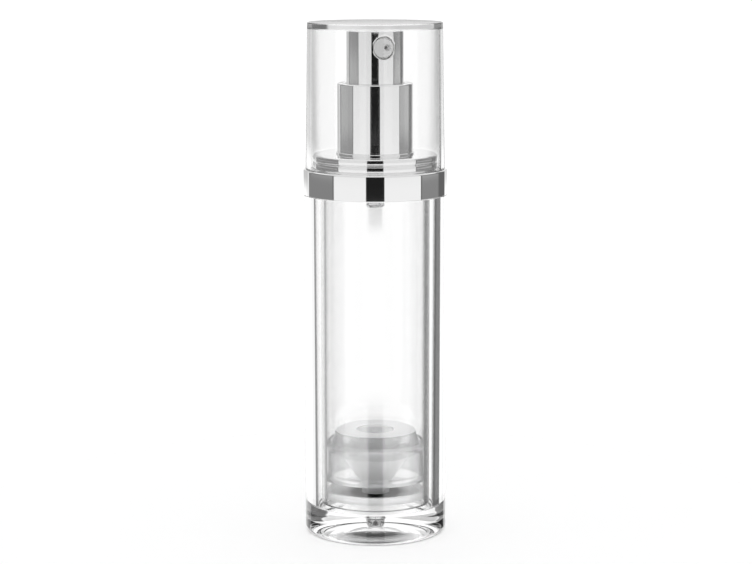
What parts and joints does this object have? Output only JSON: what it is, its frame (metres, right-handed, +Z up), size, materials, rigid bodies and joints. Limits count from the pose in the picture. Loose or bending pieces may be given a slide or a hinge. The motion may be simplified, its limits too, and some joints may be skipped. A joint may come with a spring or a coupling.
{
  "type": "airless pump bottle",
  "caption": "Clear double-wall airless pump bottle for lotion, with a bright push-button pump, a follower piston and a clear lift-off overcap.",
  "frame": {"origin": "centre of the circle that the bottle stands on, at the resting face", "axes": "+Z up along the bottle's axis, -Y the way the nozzle points, +X to the right of someone who faces the nozzle"},
  "size_m": [0.0356, 0.0356, 0.1277],
  "materials": {
    "clear_acrylic": "polished",
    "clear_inner": "gloss",
    "bright_silver": "polished",
    "milky_plastic": "satin",
    "white_plastic": "satin",
    "pale_insert": "satin",
    "soft_seal": "matte",
    "spring_steel": "satin"
  },
  "bodies": {
    "bottle": {"outer_bottle": "clear_acrylic", "inner_bottle": "clear_inner", "bottle_plug": "milky_plastic", "shoulder_collar": "bright_silver", "guide_sleeve": "bright_silver", "closure_ring": "white_plastic", "neck_gasket": "soft_seal", "pump_housing": "milky_plastic", "stem_guide": "white_plastic", "return_spring": "spring_steel"},
    "cap": {"overcap": "clear_acrylic"},
    "plunger": {"pump_stem": "white_plastic", "valve_plunger": "white_plastic"},
    "actuator": {"actuator_core": "white_plastic", "button_shell": "bright_silver", "nozzle_insert": "pale_insert"},
    "seal": {"piston_seal": "milky_plastic"},
    "ball": {"inlet_ball": "spring_steel"},
    "follower": {"follower_piston": "milky_plastic"}
  },
  "joints": [
    {"name": "cap_lift", "type": "slide", "parent": "bottle", "child": "cap", "axis": [0, 0, 1], "range_m": [0, 0.04]},
    {"name": "button_press", "type": "slide", "parent": "bottle", "child": "plunger", "axis": [0, 0, -1], "range_m": [0, 0.0045], "stiffness_N_per_m": 1500, "springref_m": -0.003, "deforming": ["return_spring"]},
    {"name": "nozzle_swivel", "type": "hinge", "parent": "plunger", "child": "actuator", "pos_m": [0, 0, 0.1185], "axis": [0, 0, 1], "continuous": true},
    {"name": "seal_follow", "type": "slide", "parent": "bottle", "child": "seal", "axis": [0, 0, -1], "range_m": [0, 0.0039]},
    {"name": "inlet_ball_lift", "type": "slide", "parent": "bottle", "child": "ball", "axis": [0, 0, 1], "range_m": [0, 0.0006]},
    {"name": "piston_rise", "type": "slide", "parent": "bottle", "child": "follower", "axis": [0, 0, 1], "range_m": [0, 0.0584]}
  ],
  "couplings": [
    {"joint": "seal_follow", "follows": "button_press", "ratio": 0.86667}
  ]
}
